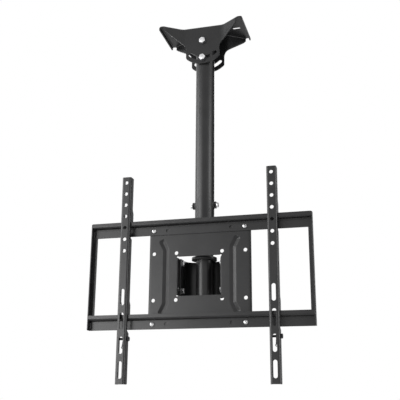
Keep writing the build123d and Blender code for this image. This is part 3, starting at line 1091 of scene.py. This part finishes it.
@dataclass
class PoleFoot(Assembly):
    """Grip screws near the pole's foot, and the weld beads on both tubes."""

    flats: float = 10.0 * MM
    head_height: float = 5.3 * MM
    radius: float = 4.0 * MM
    pitch: float = 1.25 * MM
    threaded: float = 5.0 * MM
    turns: Sequence[float] = (5.0, 21.0)
    weld_nut_flats: float = 14.0 * MM
    nut_bead: float = 0.9 * MM
    nut_bead_share: float = 0.545
    nut_ripples: int = 22
    collar_bead: float = 1.8 * MM
    collar_ripples: int = 60
    collar_height: float = 5.0 * MM
    sleeve_radius: float = 8.0 * MM
    sleeve_bead: float = 1.0 * MM
    sleeve_ripples: int = 24
    pole_step: float = 2.0 * MM
    tip_gap: float = 0.3 * MM
    pole_radius: float = field(init=False)

    def __post_init__(self) -> None:
        """Measure the outer pole."""
        self.pole_radius = box("outer_pole")[1].x

    def build(self) -> None:
        """Build the screws and the beads."""
        self.screws()
        self.nut_beads()
        self.sleeve_beads()
        self.collar_weld()

    def screws(self) -> None:
        """Build both grip screws, their heads outwards."""
        seat_x = box("pole_grip_screws")[1].x - self.head_height
        centre = middle("pole_grip_screws")
        length = seat_x - (self.pole_radius - self.pole_step + self.tip_gap)
        screw = HexBolt(self.flats, self.head_height, self.radius, self.pitch, length, self.threaded)
        piece = Piece("grip_screws_detail", "pole", Slot.ZINC)
        for side, turn in zip(SIDES, self.turns):
            screw.gather(piece, facing((side * seat_x, centre.y, centre.z), (side, 0.0, 0.0), turn))
        piece.finish(self.paintbox, "pole_grip_screws")

    def fall(self, across: float) -> float:
        """Return how far the pole's skin falls back at a distance off its middle line."""
        return self.pole_radius - math.sqrt(self.pole_radius**2 - across**2)

    def nut_beads(self) -> None:
        """Build the bead round each weld nut, saddled on the pole."""
        centre = middle("pole_weld_nuts")
        piece = Piece("weld_nut_beads", "pole", Slot.PAINT)
        for side in SIDES:
            ring = bead_ring(self.weld_nut_flats * self.nut_bead_share, self.nut_bead, self.nut_ripples)
            ring.transform(facing((side * self.pole_radius, centre.y, centre.z), (side, 0.0, 0.0)))
            for vert in ring.verts:
                vert.co.x -= side * self.fall(vert.co.y)
            piece.take(ring)
        piece.finish(self.paintbox, bead=True)

    def sleeve_beads(self) -> None:
        """Build the beads where the crush sleeves leave the pole."""
        piece = Piece("crush_sleeve_beads", "pole", Slot.PAINT)
        for name in ("pivot_bolt", "pitch_lock_bolt"):
            centre = middle(name)
            for way in SIDES:
                ring = bead_ring(self.sleeve_radius, self.sleeve_bead, self.sleeve_ripples)
                ring.transform(facing((centre.x, way * self.pole_radius, centre.z), (0.0, way, 0.0)))
                for vert in ring.verts:
                    vert.co.y -= way * self.fall(vert.co.x)
                piece.take(ring)
        piece.finish(self.paintbox, bead=True)

    def collar_weld(self) -> None:
        """Build the bead between the inner pole and its collar."""
        inner_radius = self.pole_radius - self.pole_step
        collar_top = box("inner_pole")[0].z + self.collar_height
        piece = Piece("collar_bead", "drop", Slot.PAINT)
        ring = bead_ring(inner_radius + self.collar_bead / 3, self.collar_bead, self.collar_ripples)
        piece.take(ring, Matrix.Translation((0.0, 0.0, collar_top)))
        piece.finish(self.paintbox, bead=True)


@dataclass
class SwivelHead(Assembly):
    """Locking nut and washer under the sleeve, and the beads that hold the sleeve in the yoke."""

    nut_flats: float = 24.0 * MM
    nut_turn: float = 14.0
    hex_height: float = 8.6 * MM
    edge_break: float = 0.2 * MM
    stud_radius: float = 8.0 * MM
    insert_radius: float = 9.6 * MM
    insert_sunk: float = 0.8 * MM
    insert_chamfer: float = 0.3 * MM
    collar_share: float = 0.455
    collar_overlap: float = 0.9
    rim_height: float = 1.6 * MM
    rim_round: float = 0.5 * MM
    lip_width: float = 0.3 * MM
    lip_tuck: float = 0.4 * MM
    washer_sheet: float = 2.0 * MM
    sleeve_radius: float = 18.0 * MM
    bead: float = 1.3 * MM
    bead_sunk: float = 0.4
    bead_share: float = 0.94
    bead_spread: float = 27.0
    bead_ripples: int = 34

    def build(self) -> None:
        """Build the nut, its insert, the washer and the beads."""
        low, high = box("swivel_nut")
        place = facing((0.0, 0.0, high.z), DOWN, self.nut_turn)
        self.nut(high.z - low.z, place)
        self.insert(high.z - low.z, place)
        self.washer()
        self.sleeve_beads()

    def nut(self, height: float, place: Matrix) -> None:
        """Build the nut, its rolled collar down.

        Args:
            height: Height of the nut with its collar.
            place: Placement, with +Z out through the collar.
        """
        piece = Piece("swivel_nut_detail", "drop", Slot.ZINC)
        blank = HexNut(self.nut_flats, self.hex_height, self.stud_radius, self.edge_break)
        blank.gather(piece, place)
        rolled = self.nut_flats * self.collar_share
        foot = self.hex_height * self.collar_overlap
        collar = (
            (self.insert_radius, foot),
            (rolled, foot),
            (rolled, height - self.rim_height),
            (rolled - self.rim_round, height - self.rim_round),
            (self.insert_radius + self.lip_width, height),
            (self.insert_radius - self.lip_tuck, height - self.lip_tuck),
            (self.insert_radius, foot),
        )
        piece.take(turned(collar, FINE_SIDES), place)
        piece.finish(self.paintbox, "swivel_nut")

    def insert(self, height: float, place: Matrix) -> None:
        """Build the nylon ring in the nut's collar.

        Args:
            height: Height of the nut with its collar.
            place: Placement, with +Z out through the collar.
        """
        top = height - self.insert_sunk
        ring = (
            (self.stud_radius, self.hex_height),
            (self.insert_radius, self.hex_height),
            (self.insert_radius, top),
            (self.stud_radius + self.insert_chamfer, top),
            (self.stud_radius, top - self.insert_chamfer),
            (self.stud_radius, self.hex_height),
        )
        piece = Piece("swivel_nut_insert", "drop", Slot.NYLON)
        piece.take(turned(ring, FINE_SIDES), place)
        piece.finish(self.paintbox)

    def washer(self) -> None:
        """Build the steel washer above the nut."""
        high = box("swivel_washer")[1]
        washer = Washer(self.sleeve_radius, self.stud_radius, self.washer_sheet)
        piece = Piece("swivel_washer_detail", "drop", Slot.ZINC)
        washer.gather(piece, facing((0.0, 0.0, high.z), DOWN))
        piece.finish(self.paintbox, "swivel_washer")

    def sleeve_beads(self) -> None:
        """Build the two upright beads between the sleeve and the back of the yoke."""
        low, high = box("swivel_sleeve")
        length = (high.z - low.z) * self.bead_share
        spread = math.radians(self.bead_spread)
        reach = self.sleeve_radius + self.bead * self.bead_sunk
        piece = Piece("sleeve_beads", "head", Slot.PAINT)
        for side in SIDES:
            at = (side * reach * math.sin(spread), reach * math.cos(spread), (low.z + high.z) / 2)
            piece.take(bead_line(length, self.bead, self.bead_ripples), Matrix.Translation(at))
        piece.finish(self.paintbox, bead=True)


@dataclass
class MiddlePlate(Assembly):
    """Middle plate, the walls of its pressed grooves laid flatter so that they meet in a narrow root.

    Widths and heights run across and up the plate from its middle, depths in from its front face.
    """

    node: str = "vesa_plate"
    groove_x: float = 73.0 * MM
    run_out_x: float = 86.75 * MM
    bend_rise: float = 58.0 * MM
    run_out_rise: float = 85.5 * MM
    half_width: float = 7.0 * MM
    groove_depth: float = 4.0 * MM
    draft: float = math.radians(50)
    sheet: float = 2.0 * MM
    root_half: float = 0.35 * MM
    root_rise: float = 0.7 * MM
    reach: float = 8.5 * MM
    play: float = 0.02 * MM
    smooth_angle: float = math.radians(24)

    def build(self) -> None:
        """Build the plate from a merged copy of its CAD mesh."""
        shape = bmesh.new()
        shape.from_mesh(frame["nodes"][self.node].data)
        bmesh.ops.remove_doubles(shape, verts=shape.verts[:], dist=MERGE_DISTANCE)
        bmesh.ops.recalc_face_normals(shape, faces=shape.faces[:])
        shape.normal_update()
        front = box(self.node)[0].y
        height = middle("rail_screws").z
        moves = []
        for vert in shape.verts:
            rear = vert.normal.y > 0.0
            depth = vert.co.y - front - (self.sheet if rear else 0.0)
            if not self.play < depth < self.groove_depth + self.play:
                continue
            spot = self.on_groove(vert.co, height)
            if (vert.co - spot).length < self.reach:
                share = self.narrowed(depth, self.half_width + (self.sheet / 2 if rear else 0.0))
                raised = Vector((0.0, self.root_rise * depth / self.groove_depth, 0.0))
                moves.append((vert, spot.lerp(vert.co, share) - raised))
        for vert, place in moves:
            vert.co = place
        piece = Piece("middle_plate_pressed", "frame", Slot.PAINT)
        piece.take(shape)
        piece.finish(self.paintbox, self.node, smooth=self.smooth_angle)

    def narrowed(self, depth: float, half: float) -> float:
        """Work out how far a groove is drawn in at a depth.

        Args:
            depth: Depth under the sheet's face.
            half: Half of the groove's width at that face.

        Returns:
            The new width as a share of the old one.
        """
        slope = (self.half_width - self.root_half) / self.groove_depth
        return (half - slope * depth) / (half - math.tan(self.draft) * depth)

    def on_groove(self, point: Vector, height: float) -> Vector:
        """Find the nearest point of a groove's middle line, at the point's own depth.

        Args:
            point: Point to start from.
            height: Height of the plate's middle.

        Returns:
            The point on the line.
        """
        side = math.copysign(1.0, point.x)
        upper = ((self.run_out_x, self.run_out_rise), (self.groove_x, self.bend_rise))
        lower = [(x, -rise) for x, rise in reversed(upper)]
        corners = [Vector((side * x, point.y, height + rise)) for x, rise in (*upper, *lower)]
        spots = []
        for start, end in zip(corners, corners[1:]):
            share = intersect_point_line(point, start, end)[1]
            spots.append(start.lerp(end, min(max(share, 0.0), 1.0)))
        return min(spots, key=lambda spot: (spot - point).length)


@dataclass
class FrameScrews(Assembly):
    """Rail screws and their nuts, and the beads that join rails and end plates."""

    head_radius: float = 4.7 * MM
    head_height: float = 3.4 * MM
    radius: float = 2.5 * MM
    pitch: float = 0.8 * MM
    threaded: float = 6.0 * MM
    pattern: float = 100.0 * MM
    nut_flats: float = 8.0 * MM
    turns: Sequence[float] = (12.0, 40.0, 71.0, 28.0)
    rail_sheet: float = 2.0 * MM
    ledge_rise: float = 8.5 * MM
    bead: float = 0.9 * MM
    bead_share: float = 0.82
    bead_ripples: int = 12

    def build(self) -> None:
        """Build the screws, the nuts and the beads."""
        self.screws()
        self.nuts()
        self.corner_beads()

    def spots(self, node: str) -> list[tuple[float, float, float]]:
        """Find the places of four fasteners on the plate.

        Args:
            node: CAD node that holds the four.

        Returns:
            X, height and turn of each.
        """
        centre = middle(node)
        corners = [(across, up) for across in (-1, 1) for up in (-1, 1)]
        return [
            (centre.x + across * self.pattern, centre.z + up * self.pattern, turn)
            for (across, up), turn in zip(corners, self.turns)
        ]

    def screws(self) -> None:
        """Build the four pan-head screws."""
        low, high = box("rail_screws")
        seat_y = low.y + self.head_height
        head = PanHead(self.head_radius, self.head_height)
        shank = Shank(self.radius, self.pitch, high.y - seat_y, self.threaded)
        piece = Piece("rail_screws_detail", "frame", Slot.ZINC)
        for x, z, turn in self.spots("rail_screws"):
            place = facing((x, seat_y, z), FORWARD, turn)
            piece.take(head.shape(), place)
            shank.gather(piece, place)
        piece.finish(self.paintbox, "rail_screws")

    def nuts(self) -> None:
        """Build the four nuts behind the plate."""
        low, high = box("rail_nuts")
        nut = HexNut(self.nut_flats, high.y - low.y, self.radius)
        piece = Piece("rail_nuts_detail", "frame", Slot.ZINC)
        for x, z, turn in self.spots("rail_nuts"):
            nut.gather(piece, facing((x, low.y, z), BACK, turn))
        piece.finish(self.paintbox, "rail_nuts")

    def corner_beads(self) -> None:
        """Build an upright bead where each rail's web meets an end plate."""
        piece = Piece("frame_corner_beads", "frame", Slot.PAINT)
        for rail in ("top_rail", "bottom_rail"):
            low, high = box(rail)
            web_top = high.z - self.ledge_rise - self.rail_sheet
            web_front = high.y - self.rail_sheet
            length = (web_top - low.z) * self.bead_share
            for x in (low.x, high.x):
                at = (x, web_front, (web_top + low.z) / 2)
                piece.take(bead_line(length, self.bead, self.bead_ripples), Matrix.Translation(at))
        piece.finish(self.paintbox, bead=True)


@dataclass
class SafetyScrews(Assembly):
    """Dark screw across the foot of each arm, with a knurled head on its right."""

    head_radius: float = 4.8 * MM
    head_height: float = 4.0 * MM
    radius: float = 2.5 * MM
    pitch: float = 0.8 * MM
    threaded: float = 4.0 * MM
    turn: float = 35.0
    knurls: int = 36
    knurl_depth: float = 0.93
    rim_width: float = 0.5 * MM
    rim_rise: float = 0.35 * MM
    slot_width: float = 1.2 * MM
    slot_depth: float = 1.3 * MM

    def build(self) -> None:
        """Build the left and the right screw."""
        for side in ("left", "right"):
            node = f"{side}_safety_screw"
            low, high = box(node)
            centre = middle(node)
            seat_x = high.x - self.head_height
            place = facing((seat_x, centre.y, centre.z), (1.0, 0.0, 0.0), self.turn)
            piece = Piece(f"{node}_detail", f"{side}_arm", Slot.OXIDE)
            piece.take(self.head(), place)
            Shank(self.radius, self.pitch, seat_x - low.x, self.threaded).gather(piece, place)
            piece.finish(self.paintbox, node)

    def head(self) -> Shape:
        """Shape the knurled head with its screwdriver slot.

        Returns:
            The head, its seat at the origin.
        """
        points = 2 * self.knurls
        shape = round_bar(self.head_radius, self.head_height, points)
        bmesh.ops.translate(shape, vec=(0.0, 0.0, self.head_height / 2), verts=shape.verts)
        valleys = []
        for vert in shape.verts:
            step = round(math.atan2(vert.co.y, vert.co.x) / FULL_TURN * points)
            if step % 2:
                valleys.append(vert)
        bmesh.ops.scale(shape, vec=(self.knurl_depth, self.knurl_depth, 1.0), verts=valleys)
        ends = [face for face in shape.faces if abs(face.normal.z) > FLAT_END]
        bmesh.ops.inset_region(shape, faces=ends, thickness=self.rim_width, depth=self.rim_rise)
        half_slot = self.slot_width / 2
        sliced(shape, Vector((0.0, 1.0, 0.0)), (-half_slot, half_slot))
        top = max(vert.co.z for vert in shape.verts)
        slot = []
        for face in shape.faces:
            spot = face.calc_center_median()
            if spot.z > top - MERGE_DISTANCE and abs(spot.y) < half_slot:
                slot.append(face)
        sunken(shape, slot, self.slot_depth)
        return shape


# Studio


def seen_or_mirrored(tree: bpy.types.NodeTree) -> Socket:
    """Add nodes that tell the camera's, the mirrored and the refracted rays from diffuse ones.

    Args:
        tree: Node tree of a world or a material.

    Returns:
        A socket that is 1 for those rays and 0 for diffuse ones.
    """
    path = tree.nodes.new("ShaderNodeLightPath")
    either = path.outputs["Is Camera Ray"]
    for kind in ("Is Glossy Ray", "Is Transmission Ray"):
        larger = tree.nodes.new("ShaderNodeMath")
        larger.operation = "MAXIMUM"
        tree.links.new(either, larger.inputs[0])
        tree.links.new(path.outputs[kind], larger.inputs[1])
        either = larger.outputs["Value"]
    return either


@dataclass(frozen=True)
class Panel:
    """Rectangle of the studio, a soft lamp or a black flag, that faces a target."""

    name: str
    at: Point
    target: Point
    width: float
    height: float
    power: float = 0.0

    def place(self) -> Matrix:
        """Return the placement that turns the rectangle towards its target."""
        direction = Vector(self.target) - Vector(self.at)
        return Matrix.Translation(self.at) @ direction.to_track_quat("-Z", "Y").to_matrix().to_4x4()


@dataclass
class Studio:
    """Pale floor, white surround, seven soft lamps, a black flag and the photograph's camera."""

    floor_drop: float = 1.9
    floor_radius: float = 40.0
    floor_sides: int = 96
    floor_colour: Colour = (0.86, 0.86, 0.86)
    floor_roughness: float = 0.9
    glow_colour: Colour = (0.92, 0.92, 0.92)
    glow_share: float = 0.75
    lamps: Sequence[Panel] = (
        Panel("side_left", (-1.6, -0.25, -0.35), (0.0, 0.0, -0.4), 0.6, 1.8, 15.5),
        Panel("side_right", (1.6, -0.35, -0.45), (0.0, 0.0, -0.4), 0.6, 1.8, 18.0),
        Panel("front_right", (1.4, -0.85, -0.45), (0.0, 0.0, -0.4), 0.5, 1.6, 2.0),
        Panel("front_left", (-1.3, -2.0, -0.1), (0.0, -0.05, -0.5), 1.0, 1.4, 11.5),
        Panel("far_left", (-1.9, -1.4, -0.1), (0.0, -0.05, -0.5), 1.0, 1.4, 19.5),
        Panel("low_left", (-1.2, -2.0, -0.7), (0.0, -0.05, -0.5), 1.0, 0.8, 12.5),
        Panel("back", (-0.5, 2.1, 0.5), (0.0, 0.0, -0.4), 1.2, 1.2, 10.5),
    )
    flag: Panel = Panel("flag_right_back", (2.0, 2.3, 0.6), (0.0, 0.0, 0.6), 2.9, 3.8)
    flag_colour: Colour = (0.005, 0.005, 0.005)
    surround_strength: float = 0.4
    camera_at: Point = (0.3880, -1.4524, -0.8608)
    camera_right: Point = (0.96479, 0.26294, 0.00666)
    camera_ahead: Point = (-0.25412, 0.92530, 0.28151)
    focal_pixels: float = 703.3
    frame_pixels: float = 400.0
    sensor_width: float = 36.0

    def build(self) -> None:
        """Build the whole studio and set the plain view transform."""
        self.surround()
        self.floor()
        self.light()
        self.shade()
        self.camera()
        bpy.context.scene.view_settings.view_transform = "Standard"

    def surround(self) -> None:
        """Set a world that is white to the camera and to reflections, and softer as light."""
        world = bpy.data.worlds.new("surround")
        world.use_nodes = True
        tree = world.node_tree
        tree.nodes.clear()
        mix = tree.nodes.new("ShaderNodeMixShader")
        tree.links.new(seen_or_mirrored(tree), mix.inputs["Fac"])
        for entry, strength in ((1, self.surround_strength), (2, 1.0)):
            white = tree.nodes.new("ShaderNodeBackground")
            white.inputs["Color"].default_value = (1.0, 1.0, 1.0, 1.0)
            white.inputs["Strength"].default_value = strength
            tree.links.new(white.outputs["Background"], mix.inputs[entry])
        output = tree.nodes.new("ShaderNodeOutputWorld")
        tree.links.new(mix.outputs["Shader"], output.inputs["Surface"])
        bpy.context.scene.world = world

    def floor(self) -> None:
        """Lay the pale floor well under the frame."""
        shape = bmesh.new()
        bmesh.ops.create_circle(shape, cap_ends=True, segments=self.floor_sides, radius=self.floor_radius)
        bmesh.ops.translate(shape, vec=(0.0, 0.0, -self.floor_drop), verts=shape.verts)
        sheet = NodeSheet("pale_floor")
        sheet.fix(Base_Color=(*self.floor_colour, 1.0), Roughness=self.floor_roughness)
        glow = sheet.add("ShaderNodeEmission")
        glow.inputs["Color"].default_value = (*self.glow_colour, 1.0)
        share = sheet.add("ShaderNodeMath", operation="MULTIPLY")
        share.inputs[1].default_value = self.glow_share
        sheet.join(seen_or_mirrored(sheet.tree), share.inputs[0])
        mix = sheet.add("ShaderNodeMixShader")
        sheet.join(share.outputs["Value"], mix.inputs["Fac"])
        sheet.join(sheet.shader.outputs["BSDF"], mix.inputs[1])
        sheet.join(glow.outputs["Emission"], mix.inputs[2])
        sheet.join(mix.outputs["Shader"], sheet.output.inputs["Surface"])
        mesh = mesh_of("floor", shape)
        mesh.materials.append(sheet.material)
        stand("floor", mesh)

    def light(self) -> None:
        """Hang the soft lamps, each turned towards its target."""
        for panel in self.lamps:
            data = bpy.data.lights.new(panel.name, "AREA")
            data.shape = "RECTANGLE"
            data.size = panel.width
            data.size_y = panel.height
            data.energy = panel.power
            lamp = stand(panel.name, data)
            lamp.visible_camera = False
            lamp.matrix_world = panel.place()

    def shade(self) -> None:
        """Stand the black flag that keeps the pole's far edge dark, unseen by the camera."""
        shape = bmesh.new()
        stretch = Matrix.Diagonal((self.flag.width / 2, self.flag.height / 2, 1.0, 1.0))
        bmesh.ops.create_grid(shape, x_segments=1, y_segments=1, size=1.0, matrix=stretch)
        shape.transform(self.flag.place())
        sheet = NodeSheet("black_flag")
        sheet.fix(Base_Color=(*self.flag_colour, 1.0), Specular_IOR_Level=0.0, Roughness=1.0)
        mesh = mesh_of(self.flag.name, shape)
        mesh.materials.append(sheet.material)
        flag = stand(self.flag.name, mesh)
        flag.visible_camera = False

    def camera(self) -> None:
        """Set the camera from the fit to the photograph's screw pattern."""
        data = bpy.data.cameras.new("photo_camera")
        data.sensor_width = self.sensor_width
        data.lens = self.focal_pixels / self.frame_pixels * self.sensor_width
        camera = stand("photo_camera", data)
        right = Vector(self.camera_right).normalized()
        ahead = Vector(self.camera_ahead).normalized()
        up = right.cross(ahead).normalized()
        turn = Matrix((right, up, -ahead)).transposed().to_4x4()
        camera.matrix_world = Matrix.Translation(self.camera_at) @ turn
        bpy.context.scene.camera = camera


def main() -> None:
    """Dress the mount and set up the studio."""
    logging.basicConfig(level=logging.INFO, format="%(name)s: %(message)s")
    paintbox = Paintbox()
    paintbox.coat_nodes()
    for kind in (CeilingBolts, PoleFoot, SwivelHead, TiltBolts, MiddlePlate, FrameScrews, SafetyScrews):
        log.info("building %s", kind.__name__)
        kind(paintbox).build()
    Studio().build()


if __name__ == "__main__":
    main()
